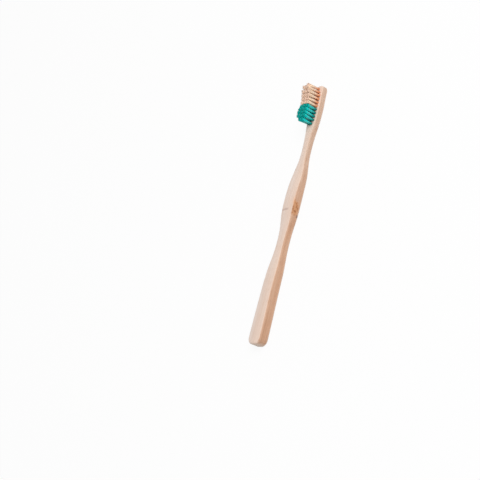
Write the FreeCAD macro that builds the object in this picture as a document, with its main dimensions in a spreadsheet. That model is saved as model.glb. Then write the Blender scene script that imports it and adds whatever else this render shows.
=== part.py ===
"""A wooden manual toothbrush, lying on its flat back with its bristles up.

One bamboo handle, planed to a wave on its front and its two sides, carries eleven rows of bristle tufts
in drilled blind holes. Each tuft is a bundle of filaments folded once under a small brass plate, its
anchor, which bites into the wood on both sides of the hole.

Frame: +X runs from the butt to the tip, +Y to the left as seen with the tip up, +Z the way the
bristles point. The origin is on the back plane, under the middle of the brush. Millimetres.
"""

import FreeCAD, Part
import Sketcher
import math
import os

OUT = "parts"
ROWS = 11
GREEN_FROM_ROW = 6
TUFT_SIDES = 10
FULL_ROW = (("left", 1.0), ("middle", 0.0), ("right", -1.0))
PAIR_ROW = (("left", 0.5), ("right", -0.5))
TIP_ROW = (("middle", 0.0),)
FLAT_STEP = 0.001

SIZES = (
    ("tuft_hole_diameter", 1.9, "drilled hole for one tuft"),
    ("row_web", 0.75, "wood between two holes along the head"),
    ("column_web", 0.45, "wood between two holes across the head"),
    ("tip_margin", 2.0, "tip of the head to the first hole"),
    ("heel_margin", 2.05, "last hole to the end of the head"),
    ("head_rim", 1.9, "outer holes to the side of the head"),
    ("head_floor", 1.25, "wood left under the holes"),
    ("tip_draw", 0.7, "each side of the head draws in by this much towards the tip"),
    ("tip_flat", 0.8, "straight stretch across the tip"),
    ("shoulder_lead", 13.0, "the sides draw in this far before the head ends"),
    ("neck_run", 16.0, "end of the head to the narrowest place"),
    ("neck_width", 6.0, "least width"),
    ("front_lag", 6.0, "the front runs flat this far past the narrowest place"),
    ("thumb_rise", 26.0, "narrowest place to the thumb rest"),
    ("thumb_flat", 16.0, "straight sides of the thumb rest"),
    ("thumb_width", 12.1, "width at the thumb rest"),
    ("thumb_crest_lag", 14.0, "start of the thumb rest to the crest of its front"),
    ("thumb_thickness", 6.6, "thickness at that crest"),
    ("waist_run", 27.0, "thumb rest to the waist"),
    ("waist_width", 8.2, "width at the waist"),
    ("hollow_lead", 7.0, "the front's hollow lies this far before the waist"),
    ("hollow_thickness", 5.5, "thickness at the hollow"),
    ("palm_rise", 26.0, "waist to the palm grip"),
    ("palm_width", 11.2, "width where the palm grip begins"),
    ("palm_crest_lag", 14.0, "the front is at its full thickness this far behind that"),
    ("palm_thickness", 7.5, "thickness of the palm grip"),
    ("butt_run", 42.05, "palm grip to the corners of the butt"),
    ("butt_width", 12.6, "width at the butt"),
    ("butt_flat", 3.6, "straight stretch across the butt"),
    ("edge_radius", 1.2, "rounding of the front's edges"),
    ("back_bevel", 0.6, "bevel of the back's edges"),
    ("planing_allowance", 1.0, "wood planed off above the thickest place and past both ends"),
    ("bristle_length", 9.7, "face of the head to the lowest place of the trim"),
    ("trim_low", 14.6, "first row to that place"),
    ("trim_climb", 5.0, "the trim climbs by this much from there to the front"),
    ("trim_lead", 8.0, "it climbs on this far past the first row"),
    ("crown_lag", 6.4, "lowest place to the crown over the rear rows"),
    ("crown_rise", 1.0, "the crown stands this much above the lowest place"),
    ("heel_fall", 1.8, "the trim falls by this much behind the crown"),
    ("heel_overhang", 4.1, "it falls on this far past the last row"),
    ("tip_drop", 2.9, "the first row is cut this much below the trim"),
    ("trim_allowance", 1.0, "tufts are set this much longer, then trimmed"),
    ("tip_flare", 0.2, "a tuft's sides lean out by this much up to its tips"),
    ("tuft_clearance", 0.02, "between a tuft and its hole"),
    ("fold_spread", 0.12, "the fold's radius exceeds the tuft's by this much"),
    ("anchor_bite", 0.2, "an anchor enters the wood this far on each side"),
    ("anchor_thickness", 0.3, "flat brass wire"),
    ("anchor_height", 1.5, "flat brass wire"),
    ("anchor_sink", 0.75, "top of an anchor below the face of the head"),
    ("anchor_clearance", 0.01, "between an anchor and its slots"),
)

# Sizes that follow from the driving ones, as expressions on the sheet
HOLE_RADIUS = "(Sizes.tuft_hole_diameter / 2)"
TUFT_RADIUS = f"({HOLE_RADIUS} - Sizes.tuft_clearance)"
FOLD_RADIUS = f"({TUFT_RADIUS} + Sizes.fold_spread)"
ANCHOR_FOOT = "(Sizes.anchor_sink + Sizes.anchor_height)"
TUFT_DEPTH = f"({ANCHOR_FOOT} + {TUFT_RADIUS})"
HOLE_DEPTH = f"({TUFT_DEPTH} + Sizes.tuft_clearance)"
HEAD_THICKNESS = f"({HOLE_DEPTH} + Sizes.head_floor)"
ANCHOR_WIDTH = "(Sizes.tuft_hole_diameter + 2 * Sizes.anchor_bite)"
KERF_WIDTH = f"({ANCHOR_WIDTH} + 2 * Sizes.anchor_clearance)"
KERF_THICKNESS = "(Sizes.anchor_thickness + 2 * Sizes.anchor_clearance)"
ROW_PITCH = "(Sizes.tuft_hole_diameter + Sizes.row_web)"
TRIM_CROWN = "(Sizes.trim_low + Sizes.crown_lag)"
TRIM_HEEL = f"({ROWS - 1} * {ROW_PITCH} + Sizes.heel_overhang)"
CROWN_LENGTH = "(Sizes.bristle_length + Sizes.crown_rise)"
HEEL_LENGTH = f"({CROWN_LENGTH} - Sizes.heel_fall)"
FRONT_LENGTH = "(Sizes.bristle_length + Sizes.trim_climb)"
UNTRIMMED_LENGTH = f"({FRONT_LENGTH} + Sizes.trim_allowance)"
COLUMN_PITCH = "(Sizes.tuft_hole_diameter + Sizes.column_web)"
HEAD_WIDTH = f"(2 * {COLUMN_PITCH} + Sizes.tuft_hole_diameter + 2 * Sizes.head_rim)"
TIP_WIDTH = f"({HEAD_WIDTH} - 2 * Sizes.tip_draw)"
TIP_CORNER = f"(({TIP_WIDTH} - Sizes.tip_flat) / 2)"
BUTT_CORNER = "((Sizes.butt_width - Sizes.butt_flat) / 2)"

# Distances from the tip, each the last one plus a stretch of the brush
FIRST_ROW = f"(Sizes.tip_margin + {HOLE_RADIUS})"
HEAD_END = (
    f"(Sizes.tip_margin + Sizes.tuft_hole_diameter + {ROWS - 1} * {ROW_PITCH} + Sizes.heel_margin)"
)
SHOULDER = f"({HEAD_END} - Sizes.shoulder_lead)"
NECK = f"({HEAD_END} + Sizes.neck_run)"
FRONT_END = f"({NECK} + Sizes.front_lag)"
THUMB_START = f"({NECK} + Sizes.thumb_rise)"
THUMB_CREST = f"({THUMB_START} + Sizes.thumb_crest_lag)"
THUMB_END = f"({THUMB_START} + Sizes.thumb_flat)"
WAIST = f"({THUMB_END} + Sizes.waist_run)"
HOLLOW = f"({WAIST} - Sizes.hollow_lead)"
PALM = f"({WAIST} + Sizes.palm_rise)"
PALM_CREST = f"({PALM} + Sizes.palm_crest_lag)"
BUTT_START = f"({PALM} + Sizes.butt_run)"
LENGTH = f"({BUTT_START} + {BUTT_CORNER})"
THICKEST = (
    f"max({HEAD_THICKNESS}; Sizes.thumb_thickness; Sizes.hollow_thickness; Sizes.palm_thickness)"
)


def from_tip(distance):
    """The X of a place that lies a distance behind the tip, as an expression."""
    return f"({LENGTH} / 2 - {distance})"


def half(width):
    return f"({width} / 2)"


def new_sheet(doc):
    """The spreadsheet of driving dimensions: a name, a number and a note on each row."""
    sheet = doc.addObject("Spreadsheet::Sheet", "Sizes")
    for row, (alias, number, note) in enumerate(SIZES, start=1):
        sheet.set(f"A{row}", alias)
        sheet.set(f"B{row}", str(number))
        sheet.set(f"C{row}", note)
        sheet.setAlias(f"B{row}", alias)
    doc.recompute()
    return sheet


class Drawing:
    """A sketch on one of a body's origin planes, whose dimensions are expressions on the sheet."""

    START, END, CENTRE = range(1, 4)
    ORIGIN = (-1, 1)

    def __init__(self, body, name, plane, height="0"):
        self.sketch = body.newObject("Sketcher::SketchObject", name)
        origin_plane = next(f for f in body.Origin.OriginFeatures if f.Role == plane)
        self.sketch.AttachmentSupport = (origin_plane, [""])
        self.sketch.MapMode = "FlatFace"
        if height != "0":
            self.sketch.setExpression(".AttachmentOffset.Base.z", height)

    def number(self, expression):
        return float(self.sketch.evalExpression(expression))

    def point(self, place):
        return FreeCAD.Vector(self.number(place[0]), self.number(place[1]), 0)

    def constrain(self, kind, *arguments, value=None):
        """Adds a constraint; a value is an expression that the dimension then follows."""
        if value is None:
            return self.sketch.addConstraint(Sketcher.Constraint(kind, *arguments))
        index = self.sketch.addConstraint(Sketcher.Constraint(kind, *arguments, self.number(value)))
        self.sketch.setExpression(f"Constraints[{index}]", value)
        return index

    def fix(self, end, place):
        """Holds one end of a piece of geometry at a place, measured from the sketch's origin."""
        self.constrain("DistanceX", *self.ORIGIN, *end, value=place[0])
        self.constrain("DistanceY", *self.ORIGIN, *end, value=place[1])

    def join(self, end, next_end):
        self.constrain("Coincident", *end, *next_end)

    def line(self, start, finish):
        """A straight edge from one place to the next. Returns its two ends."""
        edge = self.sketch.addGeometry(Part.LineSegment(self.point(start), self.point(finish)))
        return (edge, self.START), (edge, self.END)

    def arc(self, centre, radius, from_angle, to_angle):
        circle = Part.Circle(centre, FreeCAD.Vector(0, 0, 1), radius)
        return self.sketch.addGeometry(Part.ArcOfCircle(circle, from_angle, to_angle))

    def corner(self, start, finish, quarter):
        """A quarter round from start to finish, which stand a radius apart each way.

        quarter is the angle, in quarter turns, at which the round begins, seen from its centre.
        """
        begin, end = self.point(start), self.point(finish)
        from_angle = quarter * math.pi / 2
        radius = abs(end.x - begin.x)
        spoke = FreeCAD.Vector(math.cos(from_angle), math.sin(from_angle), 0)
        edge = self.arc(begin - spoke * radius, radius, from_angle, from_angle + math.pi / 2)
        across, along = ("Vertical", "Horizontal") if quarter % 2 else ("Horizontal", "Vertical")
        self.constrain(across, edge, self.CENTRE, edge, self.START)
        self.constrain(along, edge, self.CENTRE, edge, self.END)
        return (edge, self.START), (edge, self.END)

    def swell(self, start, finish):
        """An S-curve of two equal arcs, level at both ends, between two places with start on the left.

        With a run L and a rise d the radius is (L^2 + d^2) / 4d. Level places get a straight edge.
        """
        begin, end = self.point(start), self.point(finish)
        run, rise = end.x - begin.x, end.y - begin.y
        if abs(rise) < FLAT_STEP:
            return self.line(start, finish)
        radius = (run * run + rise * rise) / (4 * abs(rise))
        turn = math.asin(run / 2 / radius)
        up, down = math.pi / 2, -math.pi / 2
        lift = FreeCAD.Vector(0, math.copysign(radius, rise), 0)
        if rise > 0:
            first = self.arc(begin + lift, radius, down, down + turn)
            second = self.arc(end - lift, radius, up, up + turn)
            first_end, first_middle, second_end = self.START, self.END, self.START
            second_middle = self.END
        else:
            first = self.arc(begin + lift, radius, up - turn, up)
            second = self.arc(end - lift, radius, down - turn, down)
            first_end, first_middle, second_end = self.END, self.START, self.END
            second_middle = self.START
        self.constrain("Tangent", first, first_middle, second, second_middle)
        self.constrain("Vertical", first, self.CENTRE, first, first_end)
        self.constrain("Vertical", second, self.CENTRE, second, second_end)
        self.constrain("Equal", first, second)
        return (first, first_end), (second, second_end)

    def wave(self, places):
        """Swells through a row of places from left to right, each held where it is. Returns the ends."""
        ends = [self.swell(a, b) for a, b in zip(places, places[1:])]
        for (_, finish), (start, _) in zip(ends, ends[1:]):
            self.join(finish, start)
        self.fix(ends[0][0], places[0])
        for (_, finish), place in zip(ends, places[1:]):
            self.fix(finish, place)
        return ends[0][0], ends[-1][1]

    def cut_above(self, places, level):
        """What lies above a wave through a row of places, up to a level."""
        start, finish = self.wave(places)
        left, right = places[0], places[-1]
        corners = [right, (right[0], level), (left[0], level), left]
        edges = [self.line(a, b) for a, b in zip(corners, corners[1:])]
        ends = [finish, *edges[0], *edges[1], *edges[2], start]
        for end, next_end in zip(ends[::2], ends[1::2]):
            self.join(end, next_end)
        for end, corner in zip(edges[1], corners[1:]):
            self.fix(end, corner)

    def polygon(self, places):
        """A closed outline of straight edges with every corner held where it is."""
        edges = [self.line(a, b) for a, b in zip(places, places[1:] + places[:1])]
        for (_, finish), (start, _) in zip(edges, edges[1:] + edges[:1]):
            self.join(finish, start)
        for (start, _), place in zip(edges, places):
            self.fix(start, place)

    def rectangle(self, centre, width, height):
        """A closed rectangle round a centre."""
        left, right = f"{centre[0]} - {width} / 2", f"{centre[0]} + {width} / 2"
        low, high = f"{centre[1]} - {height} / 2", f"{centre[1]} + {height} / 2"
        self.polygon([(left, low), (right, low), (right, high), (left, high)])

    def bundle(self, centre, radius):
        """A tuft's section: equal edges with their corners on a construction circle round a centre."""
        middle, size = self.point(centre), self.number(radius)
        round_shape = Part.Circle(middle, FreeCAD.Vector(0, 0, 1), size)
        circle = self.sketch.addGeometry(round_shape, True)
        turns = [2 * math.pi * k / TUFT_SIDES for k in range(TUFT_SIDES + 1)]
        corners = [middle + FreeCAD.Vector(math.cos(t), math.sin(t), 0) * size for t in turns]
        edges = [self.sketch.addGeometry(Part.LineSegment(a, b)) for a, b in zip(corners, corners[1:])]
        self.fix((circle, self.CENTRE), centre)
        self.constrain("Radius", circle, value=radius)
        for edge, next_edge in zip(edges, edges[1:] + edges[:1]):
            self.join((edge, self.END), (next_edge, self.START))
            self.constrain("PointOnObject", edge, self.START, circle)
        for edge in edges[1:]:
            self.constrain("Equal", edges[0], edge)
        self.constrain("Horizontal", circle, self.CENTRE, edges[0], self.START)


def new_feature(body, kind, name, drawing=None, **lengths):
    """A feature of a body from a drawing, with each given length bound to its expression."""
    feature = body.newObject(f"PartDesign::{kind}", name)
    if drawing is not None:
        feature.Profile = (drawing.sketch, [""])
    for size, expression in lengths.items():
        feature.setExpression(size, expression)
    return feature


def origin_feature(body, role):
    return next(f for f in body.Origin.OriginFeatures if f.Role == role)


def tuft_sites():
    """Every tuft's row, side, X and Y, from the tip to the heel of the head."""
    for row in range(ROWS):
        for side, column in row_columns(row):
            yield row, side, row_place(row), column_place(column)


def row_columns(row):
    """The tufts of a row: one at the tip, two behind it and at the heel, three in the others."""
    if row == 0:
        return TIP_ROW
    return PAIR_ROW if row in (1, ROWS - 1) else FULL_ROW


def row_place(row):
    return from_tip(f"({FIRST_ROW} + {row} * {ROW_PITCH})")


def column_place(column):
    return f"({column} * {COLUMN_PITCH})"


def draw_plan(body):
    """The left half of the handle seen from the front: butt, wave, tip and the middle line."""
    plan = Drawing(body, "plan", "XY_Plane")
    butt, tip = from_tip(LENGTH), from_tip("0")
    butt_side = (from_tip(BUTT_START), half("Sizes.butt_width"))
    tip_side = (from_tip(TIP_CORNER), half(TIP_WIDTH))
    butt_end = (butt, half("Sizes.butt_flat"))
    tip_end = (tip, half("Sizes.tip_flat"))
    wave_start, wave_end = plan.wave([
        butt_side,
        (from_tip(PALM), half("Sizes.palm_width")),
        (from_tip(WAIST), half("Sizes.waist_width")),
        (from_tip(THUMB_END), half("Sizes.thumb_width")),
        (from_tip(THUMB_START), half("Sizes.thumb_width")),
        (from_tip(NECK), half("Sizes.neck_width")),
        (from_tip(SHOULDER), half(HEAD_WIDTH)),
        tip_side,
    ])
    tip_round_start, tip_round_end = plan.corner(tip_end, tip_side, 0)
    butt_round_start, butt_round_end = plan.corner(butt_side, butt_end, 1)
    tip_edge = plan.line((tip, "0"), tip_end)
    butt_edge = plan.line(butt_end, (butt, "0"))
    middle = plan.line((butt, "0"), (tip, "0"))
    plan.join(wave_end, tip_round_end)
    plan.join(tip_round_start, tip_edge[1])
    plan.join(wave_start, butt_round_start)
    plan.join(butt_round_end, butt_edge[0])
    plan.join(butt_edge[1], middle[0])
    plan.join(middle[1], tip_edge[0])
    plan.constrain("Vertical", tip_edge[0][0])
    plan.constrain("Vertical", butt_edge[0][0])
    plan.fix(middle[0], (butt, "0"))
    plan.fix(middle[1], (tip, "0"))
    return plan


def draw_front(body):
    """What is planed off above the handle's front, seen from the side."""
    front = Drawing(body, "front_profile", "XZ_Plane")
    past_butt = f"({from_tip(LENGTH)} - Sizes.planing_allowance)"
    past_tip = f"({from_tip('0')} + Sizes.planing_allowance)"
    above = f"({THICKEST} + 2 * Sizes.planing_allowance)"
    front.cut_above([
        (past_butt, "Sizes.palm_thickness"),
        (from_tip(PALM_CREST), "Sizes.palm_thickness"),
        (from_tip(HOLLOW), "Sizes.hollow_thickness"),
        (from_tip(THUMB_CREST), "Sizes.thumb_thickness"),
        (from_tip(FRONT_END), HEAD_THICKNESS),
        (past_tip, HEAD_THICKNESS),
    ], above)
    return front


def rim_edges(shape, level):
    """The names of the edges where the handle's upright sides meet its front (level 1) or its back (-1)."""
    def facing(face):
        low_u, high_u, low_v, high_v = face.ParameterRange
        upward = face.normalAt((low_u + high_u) / 2, (low_v + high_v) / 2).z
        return 0 if abs(upward) < FLAT_STEP else math.copysign(1, upward)

    names = []
    for index, edge in enumerate(shape.Edges, start=1):
        sides = sorted((facing(face) for face in shape.ancestorsOfType(edge, Part.Face)), key=abs)
        if sides == [0, level]:
            names.append(f"Edge{index}")
    return names


def drill_tuft_holes(body, sites, name):
    """Blind holes for some tufts, each with the kerf that its anchor cuts on the way in."""
    holes = Drawing(body, f"{name}_hole_plan", "XY_Plane", HEAD_THICKNESS)
    kerfs = Drawing(body, f"{name}_kerf_plan", "XY_Plane", HEAD_THICKNESS)
    for x, y in sites:
        holes.bundle((x, y), HOLE_RADIUS)
        kerfs.rectangle((x, y), KERF_WIDTH, KERF_THICKNESS)
    hole_cut = new_feature(body, "Pocket", f"{name}_holes", holes, Length=HOLE_DEPTH)
    kerf_depth = f"({ANCHOR_FOOT} + Sizes.anchor_clearance)"
    kerf_cut = new_feature(body, "Pocket", f"{name}_kerfs", kerfs, Length=kerf_depth)
    return [hole_cut, kerf_cut]


def make_handle(doc):
    """The bamboo handle: sawn to its plan, planed on its front, rounded over, then drilled."""
    body = doc.addObject("PartDesign::Body", "handle")
    blank = new_feature(
        body, "Pad", "blank", draw_plan(body), Length=f"{THICKEST} + Sizes.planing_allowance"
    )
    doc.recompute()

    whole = new_feature(body, "Mirrored", "whole_blank")
    whole.Originals = [blank]
    whole.MirrorPlane = (origin_feature(body, "XZ_Plane"), [""])
    body.Tip = whole
    doc.recompute()

    planed = new_feature(body, "Pocket", "planed_front", draw_front(body))
    planed.Type = "ThroughAll"
    planed.SideType = "Symmetric"
    doc.recompute()

    rounded = new_feature(body, "Fillet", "rounded_edges", Radius="Sizes.edge_radius")
    rounded.Base = (planed, rim_edges(planed.Shape, 1))
    doc.recompute()

    eased = new_feature(body, "Chamfer", "eased_back", Size="Sizes.back_bevel")
    eased.Base = (rounded, rim_edges(rounded.Shape, -1))
    doc.recompute()

    third_row = [(row_place(2), column_place(column)) for _, column in FULL_ROW]
    drilled = drill_tuft_holes(body, third_row, "row")
    doc.recompute()
    rows = new_feature(body, "LinearPattern", "full_rows", Offset=ROW_PITCH)
    rows.Originals = drilled
    rows.Direction = (origin_feature(body, "X_Axis"), [""])
    rows.Reversed = True
    rows.Mode = "Spacing"
    rows.Occurrences = ROWS - 3
    body.Tip = rows
    doc.recompute()

    end_sites = [
        (row_place(row), column_place(column)) for row in (0, 1, ROWS - 1) for _, column in row_columns(row)
    ]
    drill_tuft_holes(body, end_sites, "end_row")
    doc.recompute()
    return body


def make_tuft(doc, name, row, x, y):
    """One tuft: a faceted bundle that fills its hole, flares to its trimmed tips and folds under its anchor.

    Its own origin is in the mouth of the hole.
    """
    body = doc.addObject("PartDesign::Body", name)
    section = Drawing(body, f"{name}_section", "XY_Plane")
    section.bundle(("0", "0"), TUFT_RADIUS)
    shank = new_feature(body, "Pad", f"{name}_shank", section, Length=TUFT_DEPTH)
    shank.Reversed = True
    flare = f"atan(Sizes.tip_flare / {UNTRIMMED_LENGTH})"
    new_feature(body, "Pad", f"{name}_bristles", section, Length=UNTRIMMED_LENGTH, TaperAngle=flare)

    trim = draw_trim(body, name, row)
    fold = draw_fold(body, name, f"(-{TUFT_DEPTH})")
    for step, profile in (("trim", trim), ("fold", fold)):
        cut = new_feature(body, "Pocket", f"{name}_{step}", profile)
        cut.Type = "ThroughAll"
        cut.SideType = "Symmetric"

    body.setExpression(".Placement.Base.x", x)
    body.setExpression(".Placement.Base.y", y)
    body.setExpression(".Placement.Base.z", HEAD_THICKNESS)
    return body


def draw_trim(body, name, row):
    """What is cut off a tuft's tips: one wave along the head trims all rows, the first a drop deeper."""
    trim = Drawing(body, f"{name}_trim_profile", "XZ_Plane")
    drop = "Sizes.tip_drop" if row == 0 else "0"

    def place(behind_first_row, length):
        return f"({row} * {ROW_PITCH} - {behind_first_row})", f"({length} - {drop})"

    trim.cut_above([
        place(TRIM_HEEL, HEEL_LENGTH),
        place(TRIM_CROWN, CROWN_LENGTH),
        place("Sizes.trim_low", "Sizes.bristle_length"),
        place("(-Sizes.trim_lead)", FRONT_LENGTH),
    ], f"({UNTRIMMED_LENGTH} + Sizes.trim_allowance)")
    return trim


def draw_fold(body, name, foot):
    """What a tuft lacks, seen along the brush: the slot of its anchor and the outside of its fold."""
    fold = Drawing(body, f"{name}_fold_plan", "YZ_Plane")
    anchor_middle = "(-Sizes.anchor_sink - Sizes.anchor_height / 2)"
    slot_height = "(Sizes.anchor_height + 2 * Sizes.anchor_clearance)"
    fold.rectangle(("0", anchor_middle), KERF_THICKNESS, slot_height)

    radius = fold.number(FOLD_RADIUS)
    half_turn = math.pi / 3
    spread = f"({FOLD_RADIUS} * {math.sin(half_turn):.6f})"
    level = f"({foot} + {FOLD_RADIUS} * {1 - math.cos(half_turn):.6f})"
    below = f"({foot} - {FOLD_RADIUS})"
    outside = f"(2 * {FOLD_RADIUS})"
    centre = FreeCAD.Vector(0, fold.number(foot) + radius, 0)
    down = -math.pi / 2
    under = fold.arc(centre, radius, down - half_turn, down + half_turn)
    corners = [(spread, level), (outside, level), (outside, below), (f"(-{outside})", below)]
    corners += [(f"(-{outside})", level), (f"(-{spread})", level)]
    edges = [fold.line(a, b) for a, b in zip(corners, corners[1:])]
    for (_, finish), (start, _) in zip(edges, edges[1:]):
        fold.join(finish, start)
    fold.join((under, Drawing.END), edges[0][0])
    fold.join((under, Drawing.START), edges[-1][1])
    fold.constrain("Radius", under, value=FOLD_RADIUS)
    for (_, finish), place in zip(edges, corners[1:]):
        fold.fix(finish, place)
    fold.fix(edges[0][0], corners[0])
    return fold


def make_anchor(doc, name, x, y):
    """One anchor: a short piece of flat wire on edge, along the brush, inside the fold of a tuft."""
    anchor = doc.addObject("Part::Box", name)
    anchor.setExpression("Length", ANCHOR_WIDTH)
    anchor.setExpression("Width", "Sizes.anchor_thickness")
    anchor.setExpression("Height", "Sizes.anchor_height")
    anchor.setExpression(".Placement.Base.x", f"{x} - {ANCHOR_WIDTH} / 2")
    anchor.setExpression(".Placement.Base.y", f"{y} - Sizes.anchor_thickness / 2")
    anchor.setExpression(".Placement.Base.z", f"{HEAD_THICKNESS} - {ANCHOR_FOOT}")
    return anchor


def check(doc, nodes):
    """Stops if any object failed to recompute or a node isn't one valid solid."""
    for item in doc.Objects:
        if "Invalid" in item.State or "Error" in item.State:
            raise RuntimeError(f"{item.Label} failed to recompute: {item.State}")
    for node in nodes:
        shape = node.Shape
        if shape.isNull() or not shape.isValid() or len(shape.Solids) != 1:
            raise RuntimeError(f"{node.Label} isn't one valid solid")


def main():
    doc = FreeCAD.newDocument("toothbrush")
    new_sheet(doc)
    nodes = [make_handle(doc)]
    for row, side, x, y in tuft_sites():
        colour = "green" if row >= GREEN_FROM_ROW else "natural"
        place = f"row{row + 1:02d}_{side}"
        nodes.append(make_tuft(doc, f"{colour}_tuft_{place}", row, x, y))
        nodes.append(make_anchor(doc, f"anchor_{place}", x, y))
    doc.recompute()
    check(doc, nodes)
    os.makedirs(OUT, exist_ok=True)
    for node in nodes:
        node.Shape.exportStep(os.path.join(OUT, f"{node.Label}.step"))
    print(f"{len(nodes)} nodes, handle {nodes[0].Shape.Volume:.1f} mm3")


main()
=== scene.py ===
"""Looks of a bamboo toothbrush: grain and a growth ring on its handle, and tufts of single filaments."""
import math

import bmesh
import bpy
import numpy as np
from mathutils import Matrix, Vector


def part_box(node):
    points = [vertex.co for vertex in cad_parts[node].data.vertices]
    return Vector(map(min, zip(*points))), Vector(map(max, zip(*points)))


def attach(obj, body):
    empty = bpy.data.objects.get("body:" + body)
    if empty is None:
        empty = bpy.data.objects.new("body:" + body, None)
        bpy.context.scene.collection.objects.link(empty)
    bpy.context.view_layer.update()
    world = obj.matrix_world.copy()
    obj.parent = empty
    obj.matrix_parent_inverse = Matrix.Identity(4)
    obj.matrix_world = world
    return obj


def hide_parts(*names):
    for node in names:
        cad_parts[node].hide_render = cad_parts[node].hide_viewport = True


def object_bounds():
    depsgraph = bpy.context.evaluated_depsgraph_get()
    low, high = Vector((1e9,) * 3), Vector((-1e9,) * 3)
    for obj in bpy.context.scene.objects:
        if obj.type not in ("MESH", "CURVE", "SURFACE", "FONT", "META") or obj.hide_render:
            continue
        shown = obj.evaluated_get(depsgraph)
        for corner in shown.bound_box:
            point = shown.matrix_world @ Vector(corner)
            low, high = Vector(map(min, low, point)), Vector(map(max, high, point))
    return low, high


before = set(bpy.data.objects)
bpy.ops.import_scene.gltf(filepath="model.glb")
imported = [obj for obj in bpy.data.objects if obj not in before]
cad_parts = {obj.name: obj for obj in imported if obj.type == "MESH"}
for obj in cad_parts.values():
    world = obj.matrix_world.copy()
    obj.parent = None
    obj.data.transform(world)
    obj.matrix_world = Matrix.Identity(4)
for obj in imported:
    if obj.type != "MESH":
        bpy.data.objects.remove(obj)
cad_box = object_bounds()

MM = 0.001
SEED = 20

# The photograph: the camera's place round the brush, and where the tip of the head lies in the frame
PICTURE_PX = 480
LENS_MM = 100.0
SENSOR_MM = 36.0
CAMERA_DISTANCE = 0.9364
CAMERA_CLIP = 0.01
TURN_TO_SIDE = math.radians(55.56)
LEAN_TO_BUTT = math.radians(14.0)
LEAN_IN_FRAME = math.radians(14.33)
TIP_PX = (320.76, 85.98)

# The studio, in metres and watts
WHITE = (1.0, 1.0, 1.0, 1.0)
FLOOR_GREY = (0.93, 0.93, 0.93, 1.0)
FLOOR_WHITE_SHARE = 0.9
FLOOR_HALF = 4.0
FLOOR_GAP = 0.1 * MM
ROOM_LIGHT = 0.48
LAMP_SIZE = 1.4
LAMP_WATTS = 29.0
LAMP_PLACE = (0.60, -1.20, 1.50)

# The handle's skin
WELD_DISTANCE = 0.002 * MM
SHARP_ANGLE = math.radians(32)

# Filaments in their hole, in metres
FILAMENT_RADIUS = 0.072 * MM
FILAMENT_SPACING = 0.142 * MM
FILAMENT_SIDES = 5
LATTICE_STEPS = 8  # more than a hole holds on either side of its middle
LATTICE_ROW = math.sqrt(3) / 2  # of the spacing, between rows of a triangular lattice
FEET_RADIUS = 0.90 * MM
FOOT_JITTER = 0.010 * MM
FOLD_RINGS = 5
ANCHOR_SINK = 0.75 * MM  # from the mouth of a hole down to its anchor

# Filaments over their hole, in metres
TIPS_HALF = np.array((1.30, 1.24)) * MM  # of a tuft's field of tips, along its anchor and across it
TIPS_CORNER = 5  # the power of that field's superellipse
LEAST_SHARE = 1e-6  # keeps the middle of the field from a division by nothing
TIP_JITTER = 0.13 * MM
TRIM_JITTER = 0.05 * MM
TRIM_MARGIN = 0.03 * MM
TRIM_FROM = 0.85  # of a CAD tuft's height: its corners above this are those of its cut
LEG_RINGS = np.array((0.64, 0.3, 0.0))  # of the height from the mouth to the tip
TUFT_LEAN = 0.05 * MM
BUTTWARD_LEAN = 0.6 * MM
CLOSING_ALONG = 0.035  # lean towards the middle of the field, over the distance from it
SPLAY_ACROSS = 0.25  # lean outwards, over the distance from the middle column
SPLAY_POWER = 1.6

# Tips are thicker than the filament, which closes the field of tips, and rounded off at their end
TIP_SWELL = 1.4
TIP_END = 0.6
TIP_ROUNDING = TIP_END * FILAMENT_RADIUS
TIP_RADII = FILAMENT_RADIUS * np.array((TIP_END * TIP_SWELL, TIP_SWELL, (1 + TIP_SWELL) / 2))
TIP_RINGS = (0, 1, -2, -1)  # the two rings at each tip
BUNDLE_SHADING = 0.65  # of a filament's normals, turned as the bundle's surface is

# Nylon, whose pairs are shares of the height from the mouth of the hole, from where to where a change runs
# The root's colour is painted shade and bounced light between the tufts' bases, and the tip's is darkened
# a little as painted shade among the tips
SHADED_ROOT_TO_BODY = (-0.05, 0.55)
BODY_TO_SHADED_TIP = (0.80, 1.0)
ROOT_TO_GLOSS = (0.10, 0.35)
GLOSS_TO_TIP = (0.55, 0.85)
OWN_SHADE = 0.07
OWN_ROUGHNESS = 0.08
COAT_ROUGHNESS = 0.12

# Bamboo's growth ring, in millimetres. Pairs are the two ends of a soft edge
RING_X = 1.75
RING_SLANT = -0.18
RING_WANDER = 3.0
RING_EDGE = (0.25, 1.1)
RING_FADE_Y = (-2.4, -0.4)
TINT_FROM_RING = 5.0
TINT_EDGE = (1.0, 3.5)
TINT_FADE_Y = (-5.4, -3.6)
SCAR_TO_BUTT = (-5.6, -4.1)
SCAR_TO_TIP = (4.5, 6.5)
SCAR_TOP = 6.6
SCAR_SLOPE = 0.6
SCAR_FADE_Z = (0.8, 2.8)
PIT_EDGE = (0.4, 1.1)
PIT_FADE_Z = (1.2, 2.2)

# Where bamboo's colours change, in millimetres, and how strong the pale foot of its sides is
FRONT_NEAR_TO_FAR_Y = (-4.5, 4.5)
FLANK_BUTT_TO_TIP_X = (-10.0, 50.0)
FLANK_FOOT_Z = (0.3, 1.8)
FLANK_FOOT_STRENGTH = 0.6

# Steps of the surface's facing and of the grain's noise, from where to where a mask changes
SIDE_FACING = (0.25, 0.9)
END_FACING = (0.75, 0.98)
BAND_STEP = (0.3, 0.7)
STREAK_STEP = (0.50, 0.66)
FIBRE_STEP = (0.46, 0.72)
TICK_STEP = (0.60, 0.70)
BLOTCH_STEP = (0.47, 0.59)
PORE_STEP = (0.12, 0.26)
PORES_PER_MM = 2.2
PORE_STRETCH = 0.02
NOISE_MIDDLE = 0.5

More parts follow.
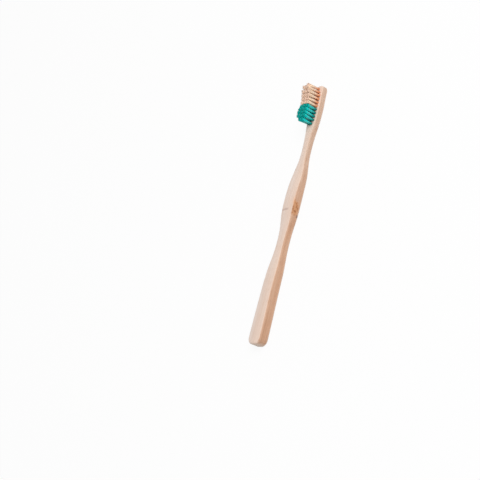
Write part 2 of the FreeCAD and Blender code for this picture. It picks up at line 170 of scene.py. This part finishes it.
# Bamboo's relief, whose rises and depths are shares of one depth in metres, and its shine
RELIEF_DEPTH = 0.04 * MM
RELIEF_STRENGTH = 0.5
FIBRE_RISE = 0.6
TICK_DEPTH = 0.4
RING_DEPTH = 0.5
SCAR_DEPTH = 0.6
BAMBOO_ROUGHNESS = 0.50
FIBRE_ROUGHNESS = 0.16
SIDE_ROUGHNESS = 0.05
BAMBOO_GLOSS = 0.35

# Brass
SCRATCHES = (0.8, 9.0, 22.0)  # per millimetre along X, Y and Z
SCRATCH_STEP = (0.35, 0.65)
SCRATCH_ROUGHNESS = 0.2
BRASS_ROUGHNESS = 0.28


def srgb(red, green, blue):
    """A colour given in display steps of 0 to 255, as linear light."""
    steps = np.array((red, green, blue)) / 255.0
    linear = np.where(steps <= 0.04045, steps / 12.92, ((steps + 0.055) / 1.055) ** 2.4)
    return (*(float(part) for part in linear), 1.0)


# Bamboo's colours. Pairs are the light and the dark of its broad bands
FRONT_FAR = (srgb(232, 216, 206), srgb(226, 206, 193))
FRONT_NEAR = (srgb(238, 214, 198), srgb(232, 204, 185))
# The flanks' colours are darker and warmer than the front's, partly from the sides' own grain and partly
# as painted shade
FLANK_TONE_AND_SHADE_TO_TIP = (srgb(206, 180, 160), srgb(199, 167, 145))
FLANK_TONE_AND_SHADE_TO_BUTT = (srgb(204, 165, 138), srgb(193, 149, 119))
FLANK_FOOT = srgb(212, 184, 166)
STREAK = srgb(178, 134, 106)
FIBRE = srgb(205, 160, 128)
TICK = srgb(168, 118, 84)
END_GRAIN = srgb(202, 180, 162)
PORE = srgb(150, 104, 72)
SCAR = srgb(198, 140, 94)
SCAR_BLOTCH = srgb(150, 92, 52)
PIT = srgb(112, 82, 74)
TINT = srgb(238, 186, 148)
RING = srgb(180, 150, 140)

# Brass in its scratches and between them
BRASS_DULL = srgb(196, 158, 88)
BRASS_BRIGHT = srgb(222, 188, 118)


class Value:
    """An output of a node. Sums on one that gives a number add Math nodes to its finish."""

    def __init__(self, finish, socket):
        self.finish = finish
        self.socket = socket

    def _math(self, operation, first, second):
        return self.finish.node("ShaderNodeMath", {"operation": operation}, {0: first, 1: second})

    def __add__(self, other):
        return self._math("ADD", self, other)

    def __sub__(self, other):
        return self._math("SUBTRACT", self, other)

    def __rsub__(self, other):
        return self._math("SUBTRACT", other, self)

    def __mul__(self, other):
        return self._math("MULTIPLY", self, other)

    __radd__ = __add__
    __rmul__ = __mul__


class Finish:
    """The nodes of one material, or of the world."""

    def __init__(self, owner):
        owner.use_nodes = True
        self.owner = owner
        self.tree = owner.node_tree
        self.tree.nodes.clear()

    def node(self, kind, settings=None, sockets=None, output=0):
        """Adds a node and returns one of its outputs.

        Its settings are set first, and then each named socket gets a number, a colour or a link.
        """
        made = self.tree.nodes.new(kind)
        for name, setting in (settings or {}).items():
            setattr(made, name, setting)
        for name, value in (sockets or {}).items():
            if isinstance(value, Value):
                self.tree.links.new(value.socket, made.inputs[name])
            else:
                made.inputs[name].default_value = value
        return Value(self, made.outputs[output]) if made.outputs else None

    def parts(self, vector):
        """The X, Y and Z of a vector."""
        return [self.node("ShaderNodeSeparateXYZ", None, {0: vector}, axis) for axis in "XYZ"]

    def joined(self, x, y, z):
        """The vector of an X, Y and Z."""
        return self.node("ShaderNodeCombineXYZ", None, {0: x, 1: y, 2: z})

    def place(self):
        """The X, Y and Z of a point of the piece, in millimetres."""
        point = self.node("ShaderNodeTexCoord", output="Object")
        return [part * (1 / MM) for part in self.parts(point)]

    def noise(self, x, y, z, detail=2.0, roughness=0.5):
        """Cloudy noise of about one feature per unit of its three coordinates."""
        sockets = {"Vector": self.joined(x, y, z), "Scale": 1.0, "Detail": detail, "Roughness": roughness}
        return self.node("ShaderNodeTexNoise", None, sockets, "Fac")

    def rise(self, value, low, high):
        """A smooth step from 0 at low to 1 at high."""
        sockets = {"Value": value, "From Min": low, "From Max": high}
        return self.node("ShaderNodeMapRange", {"interpolation_type": "SMOOTHSTEP"}, sockets)

    def fall(self, value, low, high):
        """A smooth step from 1 at low to 0 at high."""
        return 1.0 - self.rise(value, low, high)

    def size_of(self, value):
        """A number without its sign."""
        return self.node("ShaderNodeMath", {"operation": "ABSOLUTE"}, {0: value})

    def mix(self, share, first, second):
        """A colour between two colours."""
        return self.node("ShaderNodeMix", {"data_type": "RGBA"}, {0: share, 6: first, 7: second}, 2)

    def bump(self, height, distance, strength):
        """A normal that follows a relief."""
        sockets = {"Height": height, "Distance": distance, "Strength": strength}
        return self.node("ShaderNodeBump", None, sockets)

    def surface(self, **sockets):
        """Ends the material in a Principled shader. Socket names are written with _ for a space."""
        named = {name.replace("_", " "): value for name, value in sockets.items()}
        shader = self.node("ShaderNodeBsdfPrincipled", None, named)
        self.node("ShaderNodeOutputMaterial", None, {"Surface": shader})
        return self.owner


def bamboo_finish():
    """Fine-sanded bamboo: long fibres, short dark vessel ticks, sides darker and warmer partly from their
    own grain and partly as painted shade, end grain and a growth ring.

    The ring is a wandering line over the far half of the front, and a groove down the far side. On both
    sides lies a blotched scar with a dark pit at its butt end, and a warm tint on the front's near edge.
    """
    wood = Finish(bpy.data.materials.new("bamboo"))
    x, y, z = wood.place()
    facing_along, facing_across, _ = wood.parts(wood.node("ShaderNodeTexCoord", output="Normal"))
    side = wood.rise(wood.size_of(facing_across), *SIDE_FACING)
    front = 1.0 - side
    end = wood.rise(wood.size_of(facing_along), *END_FACING)

    def grain(along, across, detail=2.0, roughness=0.5):
        """Noise with so many features per millimetre along the fibres and across them."""
        return wood.noise(x * along, y * across, z * across, detail, roughness)

    bands = wood.rise(grain(along=0.012, across=0.45), *BAND_STEP)
    streaks = wood.rise(grain(along=0.03, across=1.3), *STREAK_STEP)
    fibres = grain(along=0.05, across=5.0, detail=4.0, roughness=0.6)
    ticks = wood.rise(grain(along=0.22, across=7.5, detail=1.0), *TICK_STEP)
    blotches = wood.rise(grain(along=0.55, across=0.9, detail=3.0, roughness=0.6), *BLOTCH_STEP)
    cells = {"Vector": wood.joined(x * PORE_STRETCH, y, z), "Scale": PORES_PER_MM}
    pores = wood.fall(wood.node("ShaderNodeTexVoronoi", None, cells, "Distance"), *PORE_STEP)

    wander = (grain(along=0.5, across=0.35) - NOISE_MIDDLE) * RING_WANDER
    from_ring = x - RING_X - y * RING_SLANT + wander
    ring = wood.fall(wood.size_of(from_ring), *RING_EDGE) * wood.rise(y, *RING_FADE_Y)
    slanted = from_ring + (SCAR_TOP - z) * SCAR_SLOPE
    scar = wood.rise(from_ring, *SCAR_TO_BUTT) * wood.fall(slanted, *SCAR_TO_TIP)
    scar = scar * side * wood.rise(z, *SCAR_FADE_Z)
    pit = wood.fall(wood.size_of(from_ring - SCAR_TO_BUTT[0]), *PIT_EDGE)
    pit = pit * side * wood.fall(z, *PIT_FADE_Z)
    tint = wood.fall(wood.size_of(from_ring - TINT_FROM_RING), *TINT_EDGE)
    tint = tint * front * wood.fall(y, *TINT_FADE_Y)

    near_front, far_front = wood.mix(bands, *FRONT_NEAR), wood.mix(bands, *FRONT_FAR)
    pale = wood.mix(wood.rise(y, *FRONT_NEAR_TO_FAR_Y), near_front, far_front)
    # The flank is darker than the front partly from its own grain and partly as painted shade
    tone_and_shade_to_butt, tone_and_shade_to_tip = wood.mix(bands, *FLANK_TONE_AND_SHADE_TO_BUTT), wood.mix(bands, *FLANK_TONE_AND_SHADE_TO_TIP)
    flank_tone_and_shade = wood.mix(wood.rise(x, *FLANK_BUTT_TO_TIP_X), tone_and_shade_to_butt, tone_and_shade_to_tip)
    flank_tone_and_shade = wood.mix(wood.fall(z, *FLANK_FOOT_Z) * FLANK_FOOT_STRENGTH, flank_tone_and_shade, FLANK_FOOT)
    colour = wood.mix(side, pale, flank_tone_and_shade)
    layers = (  # where each lies, how strong it is there, and its colour
        (streaks * side, 0.45, STREAK),
        (wood.rise(fibres, *FIBRE_STEP), 0.34, FIBRE),
        (ticks, 0.20 + side * 0.25, TICK),
        (end, 0.6, END_GRAIN),
        (end * pores, 0.55, PORE),
        (scar, 0.75, SCAR),
        (scar * blotches, 0.8, SCAR_BLOTCH),
        (pit, 0.75, PIT),
        (tint, 0.5, TINT),
        (ring * front, 0.5, RING),
    )
    for mask, strength, shade in layers:
        colour = wood.mix(mask * strength, colour, shade)

    relief = fibres * FIBRE_RISE - ticks * TICK_DEPTH - ring * RING_DEPTH
    relief = relief - scar * blotches * SCAR_DEPTH - pit
    return wood.surface(
        Base_Color=colour,
        Roughness=BAMBOO_ROUGHNESS + fibres * FIBRE_ROUGHNESS + side * SIDE_ROUGHNESS,
        Normal=wood.bump(relief, RELIEF_DEPTH, RELIEF_STRENGTH),
        Specular_IOR_Level=BAMBOO_GLOSS,
    )


def bristle_finish(name, root, body, tip, roughness, gloss):
    """Nylon filament: its colour goes from a root darkened as painted shade and bounced light between the
    tufts' bases, through its body, to a tip darkened a little as painted shade among the tips, and differs
    a little from one filament to the next.

    Its drawn sides are glossy. Its ground tip and its root are matt.
    """
    nylon = Finish(bpy.data.materials.new(name))
    own, height, _ = nylon.parts(nylon.node("ShaderNodeUVMap", {"uv_map": "filament"}))
    # Painted shade: a darker root colour low over the hole's mouth, and a slightly darker tip colour at
    # the top
    shade = nylon.mix(nylon.rise(height, *SHADED_ROOT_TO_BODY), root, body)
    shade = nylon.mix(nylon.rise(height, *BODY_TO_SHADED_TIP), shade, tip)
    shade = nylon.mix(own * OWN_SHADE, shade, root)
    return nylon.surface(
        Base_Color=shade,
        Roughness=roughness + own * OWN_ROUGHNESS,
        Specular_IOR_Level=gloss,
        Coat_Weight=nylon.rise(height, *ROOT_TO_GLOSS) * nylon.fall(height, *GLOSS_TO_TIP),
        Coat_Roughness=COAT_ROUGHNESS,
    )


def brass_finish():
    """Drawn flat wire: fine scratches run along it, and its colour and shine follow them."""
    brass = Finish(bpy.data.materials.new("anchor_brass"))
    drawn = brass.noise(*(part * per_mm for part, per_mm in zip(brass.place(), SCRATCHES)))
    return brass.surface(
        Base_Color=brass.mix(brass.rise(drawn, *SCRATCH_STEP), BRASS_DULL, BRASS_BRIGHT),
        Metallic=1.0,
        Roughness=BRASS_ROUGHNESS + drawn * SCRATCH_ROUGHNESS,
    )


def new_piece(name, mesh, finish, slot, *nodes):
    """Puts a mesh into the scene as a piece that stands for CAD nodes."""
    piece = bpy.data.objects.new(name, mesh)
    bpy.context.scene.collection.objects.link(piece)
    mesh.materials.clear()
    mesh.materials.append(finish)
    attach(piece, "root")
    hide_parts(*nodes)
    return piece


def make_handle(finish):
    """The handle's solid, welded into one skin with normals that run smoothly over waves and edges."""
    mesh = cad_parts["handle"].data.copy()
    mesh.name = "bamboo_handle"
    skin = bmesh.new()
    skin.from_mesh(mesh)
    bmesh.ops.remove_doubles(skin, verts=skin.verts, dist=WELD_DISTANCE)
    skin.to_mesh(mesh)
    skin.free()
    if "custom_normal" in mesh.attributes:
        mesh.attributes.remove(mesh.attributes["custom_normal"])
    mesh.shade_smooth()
    mesh.set_sharp_from_angle(angle=SHARP_ANGLE)
    piece = new_piece("bamboo_handle", mesh, finish, "bamboo", "handle")
    lead = piece.modifiers.new("broad_faces_lead", "WEIGHTED_NORMAL")
    lead.keep_sharp = True


def half_lattice(anchor_half):
    """Feet of the filaments on one side of an anchor, in metres from the middle of the hole.

    Points of a triangular lattice, whose rows lie along the anchor and alternate by half a step, kept
    where they are a filament's radius inside the bundle.
    """
    column, row = np.meshgrid(np.arange(-LATTICE_STEPS, LATTICE_STEPS + 1), np.arange(LATTICE_STEPS))
    along = (column + 0.5 * (row % 2)) * FILAMENT_SPACING
    away = anchor_half + FILAMENT_RADIUS + row * FILAMENT_SPACING * LATTICE_ROW
    inside = np.hypot(along, away) < FEET_RADIUS - FILAMENT_RADIUS
    return along[inside], away[inside]


def tip_field(along, away, nearest):
    """Where the tips over half a hole spread to: from the half disc of feet to half a rounded square.

    Each tip keeps its direction from the middle, and its distance grows from the disc's rim to that of the
    superellipse, whose rim lies at 1 over the n-th root of the sum of the direction's n-th powers.
    """
    reach = FEET_RADIUS - FILAMENT_RADIUS
    share = np.stack((along / reach, (away - nearest) / (reach - nearest)))
    distance = np.maximum(np.hypot(*share), LEAST_SHARE)
    rim = np.sum(np.abs(share / distance) ** TIPS_CORNER, axis=0) ** (-1 / TIPS_CORNER)
    spread_along, spread_away = share * rim * (TIPS_HALF - FILAMENT_RADIUS)[:, None]
    return spread_along, spread_away + FILAMENT_RADIUS


def leg(along, away, tip_along, tip_away, top, mouth):
    """Centre lines of many filament legs, tip first, as an array of filament by ring by XYZ.

    At the mouth of the hole a leg stands over (along, away). Above it the leg leans out to
    (tip_along, tip_away) as a power of its height. A second ring close under the tip rounds it off.
    """
    length = top[:, None] - mouth
    near_tip = top[:, None] - np.array((0.0, TIP_ROUNDING))
    heights = np.concatenate((near_tip, mouth + length * LEG_RINGS), axis=1)
    lean = np.clip((heights - mouth) / length, 0, 1) ** SPLAY_POWER
    return np.stack((
        along[:, None] + (tip_along - along)[:, None] * lean,
        away[:, None] + (tip_away - away)[:, None] * lean,
        heights,
    ), axis=2)


def trim_of(node):
    """How a CAD tuft is cut: a parabola along X, and the least and most X of the cut.

    The parabola is the one with the least squares of distance to the corners of the tuft's top.
    """
    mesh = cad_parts[node].data
    corners = np.empty(len(mesh.vertices) * 3)
    mesh.vertices.foreach_get("co", corners)
    x, _, z = corners.reshape(-1, 3).T
    top = z > z.min() + TRIM_FROM * (z.max() - z.min())
    return np.polyfit(x[top], z[top], 2), x[top].min(), x[top].max()


def tuft_paths(node, low, high, mouth, field_middle, rng):
    """Centre lines of a tuft's filaments, about the middle of its hole, as filament by ring by XYZ.

    Each comes down one leg from its tip, turns under the anchor, and goes up the other leg. The turn is
    half a circle about the anchor's foot, whose radius is the filament's distance from the middle. The
    tips end a little under the CAD tuft's trim.
    """
    cut, first_x, last_x = trim_of(node)
    middle = (low + high) / 2
    anchor_half = (high.y - low.y) / 2
    along, away = half_lattice(anchor_half)
    count = len(along)
    along = along + rng.normal(0, FOOT_JITTER, count)
    spread_along, spread_away = tip_field(along, away, anchor_half + FILAMENT_RADIUS)
    lean_along = -BUTTWARD_LEAN - (middle.x - field_middle) * CLOSING_ALONG
    lean = np.array((lean_along, middle.y * SPLAY_ACROSS)) + rng.normal(0, TUFT_LEAN, 2)
    tip_x = np.clip(middle.x + spread_along, first_x, last_x)

    def one_leg(side):
        """The legs on one side of the anchor, which is 1 or -1."""
        tip_along = spread_along + lean[0] + rng.normal(0, TIP_JITTER, count)
        tip_away = side * spread_away + lean[1] + rng.normal(0, TIP_JITTER, count)
        top = np.polyval(cut, tip_x) - TRIM_MARGIN - np.abs(rng.normal(0, TRIM_JITTER, count))
        return leg(along, side * away, tip_along, tip_away, top, mouth)

    turn = np.linspace(0, math.pi, FOLD_RINGS)
    fold = np.stack((
        np.repeat(along[:, None], FOLD_RINGS, axis=1),
        away[:, None] * np.cos(turn),
        low.z - away[:, None] * np.sin(turn),
    ), axis=2)
    down = one_leg(1.0)
    up = one_leg(-1.0)[:, ::-1]
    return np.concatenate((down, fold, up), axis=1)


def tubes(paths, radii):
    """Vertices and outward directions of round tubes along paths that run about across the X axis.

    Round each path point stands a ring: cosine times the X axis, made square to the path, plus sine times
    the path's direction cross that axis. Both results are filament by ring by side by XYZ.
    """
    tangent = np.gradient(paths, axis=1)
    tangent /= np.linalg.norm(tangent, axis=2, keepdims=True)
    level = np.zeros_like(tangent)
    level[..., 0] = 1.0
    level -= tangent * np.sum(level * tangent, axis=2, keepdims=True)
    level /= np.linalg.norm(level, axis=2, keepdims=True)
    upright = np.cross(tangent, level)
    turn = np.linspace(0, 2 * math.pi, FILAMENT_SIDES, endpoint=False)[None, None, :, None]
    ring = np.cos(turn) * level[:, :, None] + np.sin(turn) * upright[:, :, None]
    return paths[:, :, None] + ring * radii[None, :, None, None], ring


def bundle_normals(paths, outward):
    """Normals with which light plays on a tuft as a whole more than on each filament by itself.

    A share of each is the way from the middle of the bundle to the filament, over the bundle's radius
    there, and the rest is the filament's own outward direction. Those of the two rings at each tip are
    turned up by one more upward unit.
    """
    level = paths[..., :2]
    both_legs = np.concatenate((level, level[:, ::-1]))
    from_middle = level - both_legs.mean(axis=0)
    from_middle /= np.linalg.norm(from_middle, axis=2).max(axis=0)[None, :, None]
    bundle = np.pad(from_middle, ((0, 0), (0, 0), (0, 1)))
    normals = outward * (1 - BUNDLE_SHADING) + bundle[:, :, None] * BUNDLE_SHADING
    normals[:, TIP_RINGS] += (0.0, 0.0, 1.0)
    return normals / np.linalg.norm(normals, axis=3, keepdims=True)


def tube_mesh(name, vertices, normals, uv):
    """A mesh of closed tubes from vertices as filament by ring by side.

    Its walls are four-sided faces between neighbouring rings, and a face closes each end. Every vertex has
    one normal and one UV.
    """
    count, rings, sides, _ = vertices.shape
    index = np.arange(count * rings * sides).reshape(count, rings, sides)
    beside = np.roll(index, -1, axis=2)
    walls = np.stack((index[:, :-1], beside[:, :-1], beside[:, 1:], index[:, 1:]), axis=3).reshape(-1, 4)
    caps = np.concatenate((index[:, 0, ::-1], index[:, -1]))
    corners = np.concatenate((walls.ravel(), caps.ravel()))
    starts = np.concatenate((np.arange(len(walls)) * 4, walls.size + np.arange(len(caps)) * sides))

    mesh = bpy.data.meshes.new(name)
    mesh.vertices.add(count * rings * sides)
    mesh.vertices.foreach_set("co", vertices.astype(np.float32).ravel())
    mesh.loops.add(len(corners))
    mesh.loops.foreach_set("vertex_index", corners.astype(np.int32))
    mesh.polygons.add(len(starts))
    mesh.polygons.foreach_set("loop_start", starts.astype(np.int32))
    mesh.update(calc_edges=True)
    mesh.shade_smooth()
    layer = mesh.uv_layers.new(name="filament")
    layer.uv.foreach_set("vector", uv.reshape(-1, 2)[corners].astype(np.float32).ravel())
    mesh.normals_split_custom_set_from_vertices(normals.reshape(-1, 3))
    return mesh


def make_tuft(node, anchor, finish, slot, field_middle, rng):
    """A tuft of single filaments, each folded in half under the anchor, with rounded tips at the trim.

    U is a random number of each filament's own. V is the height over the mouth of the hole, as a share
    of the tuft's.
    """
    low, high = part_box(anchor)
    middle = (low + high) / 2
    mouth = high.z + ANCHOR_SINK
    paths = tuft_paths(node, low, high, mouth, field_middle, rng)
    count, rings, _ = paths.shape
    plain = np.full(rings - 2 * len(TIP_RADII), FILAMENT_RADIUS)
    vertices, outward = tubes(paths, np.concatenate((TIP_RADII, plain, TIP_RADII[::-1])))
    vertices = vertices + np.array((middle.x, middle.y, 0.0))
    own = np.repeat(rng.random(count)[:, None], rings, axis=1)
    height = np.clip((paths[..., 2] - mouth) / (paths[..., 2].max() - mouth), 0, 1)
    uv = np.repeat(np.stack((own, height), axis=2)[:, :, None], FILAMENT_SIDES, axis=2)
    name = f"{node}_filaments"
    new_piece(name, tube_mesh(name, vertices, bundle_normals(paths, outward), uv), finish, slot, node)


def make_tufts():
    """All tufts of both colours, in the order of their names."""
    # Root colours are painted shade and bounced light between the tufts' bases, and tip colours are a
    # little darker as painted shade among the tips
    finishes = {
        "natural": bristle_finish(
            "natural_bristle", root=srgb(236, 146, 88), body=srgb(255, 226, 197), tip=srgb(250, 216, 193),
            roughness=0.42, gloss=0.3,
        ),
        "green": bristle_finish(
            "green_bristle", root=srgb(0, 122, 114), body=srgb(10, 212, 206), tip=srgb(0, 166, 156),
            roughness=0.30, gloss=0.1,
        ),
    }
    nodes = sorted(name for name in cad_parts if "_tuft_" in name)
    anchors = sorted(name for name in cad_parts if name.startswith("anchor_"))
    field_middle = (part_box(anchors[0])[0].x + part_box(anchors[-1])[1].x) / 2
    rng = np.random.default_rng(SEED)
    for node in nodes:
        colour, place = node.split("_tuft_")
        make_tuft(node, f"anchor_{place}", finishes[colour], f"{colour}_bristle", field_middle, rng)


def dress_anchors():
    """Brass on the anchors' own solids."""
    brass = brass_finish()
    for name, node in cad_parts.items():
        if name.startswith("anchor_"):
            node.data.materials.clear()
            node.data.materials.append(brass)


def seen_directly(finish):
    """1 for rays from the camera, mirrored by gloss or passed on by glass, 0 for light on the object."""
    camera, gloss, glass = (
        finish.node("ShaderNodeLightPath", output=f"Is {kind} Ray")
        for kind in ("Camera", "Glossy", "Transmission")
    )
    return finish.node("ShaderNodeClamp", None, {"Value": camera + gloss + glass})


def make_floor():
    """A wide pale floor just under the back of the brush, nearly white, that keeps the shadow."""
    finish = Finish(bpy.data.materials.new("floor"))
    matt = finish.node("ShaderNodeBsdfDiffuse", None, {"Color": FLOOR_GREY})
    glow = finish.node("ShaderNodeEmission", None, {"Color": WHITE, "Strength": 1.0})
    white = seen_directly(finish) * FLOOR_WHITE_SHARE
    mixed = finish.node("ShaderNodeMixShader", None, {0: white, 1: matt, 2: glow})
    finish.node("ShaderNodeOutputMaterial", None, {"Surface": mixed})
    level = cad_box[0].z - FLOOR_GAP
    sides = ((-1, -1), (1, -1), (1, 1), (-1, 1))
    mesh = bpy.data.meshes.new("floor")
    mesh.from_pydata([(x * FLOOR_HALF, y * FLOOR_HALF, level) for x, y in sides], [], [(0, 1, 2, 3)])
    mesh.materials.append(finish.owner)
    floor = bpy.data.objects.new("floor", mesh)
    bpy.context.scene.collection.objects.link(floor)


def light_studio():
    """An even white room and one large soft lamp high in front, a little to the near side and the tip."""
    sky = Finish(bpy.data.worlds.new("studio"))
    bpy.context.scene.world = sky.owner
    strength = ROOM_LIGHT + seen_directly(sky) * (1.0 - ROOM_LIGHT)
    shown = sky.node("ShaderNodeBackground", None, {"Color": WHITE, "Strength": strength})
    sky.node("ShaderNodeOutputWorld", None, {"Surface": shown})

    lamp = bpy.data.lights.new("softbox", "AREA")
    lamp.shape = "SQUARE"
    lamp.size = LAMP_SIZE
    lamp.energy = LAMP_WATTS
    softbox = bpy.data.objects.new("softbox", lamp)
    softbox.location = LAMP_PLACE
    softbox.rotation_euler = Vector(LAMP_PLACE).to_track_quat("Z", "Y").to_euler()
    bpy.context.scene.collection.objects.link(softbox)


def place_camera():
    """The photograph's view: the handle runs up the frame and leans right, its front faces left."""
    to_camera = Vector((
        -math.sin(LEAN_TO_BUTT),
        -math.cos(LEAN_TO_BUTT) * math.sin(TURN_TO_SIDE),
        math.cos(LEAN_TO_BUTT) * math.cos(TURN_TO_SIDE),
    ))
    ahead = -to_camera
    along = Vector((1, 0, 0))
    along = (along - ahead * along.dot(ahead)).normalized()
    beside = ahead.cross(along)
    up = along * math.cos(LEAN_IN_FRAME) - beside * math.sin(LEAN_IN_FRAME)
    right = ahead.cross(up)

    tip = Vector((cad_box[1].x, 0.0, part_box("anchor_row01_middle")[1].z))
    metres_per_px = CAMERA_DISTANCE * SENSOR_MM / LENS_MM / PICTURE_PX
    middle_px = PICTURE_PX / 2
    target = tip - right * ((TIP_PX[0] - middle_px) * metres_per_px)
    target -= up * ((middle_px - TIP_PX[1]) * metres_per_px)

    data = bpy.data.cameras.new("camera")
    data.lens = LENS_MM
    data.sensor_width = SENSOR_MM
    data.clip_start = CAMERA_CLIP
    camera = bpy.data.objects.new("camera", data)
    turned = Matrix((right, up, to_camera)).transposed().to_4x4()
    camera.matrix_world = Matrix.Translation(target + to_camera * CAMERA_DISTANCE) @ turned
    bpy.context.scene.collection.objects.link(camera)
    bpy.context.scene.camera = camera


place_camera()
make_handle(bamboo_finish())
make_tufts()
dress_anchors()
make_floor()
light_studio()
bpy.context.scene.view_settings.view_transform = "Standard"
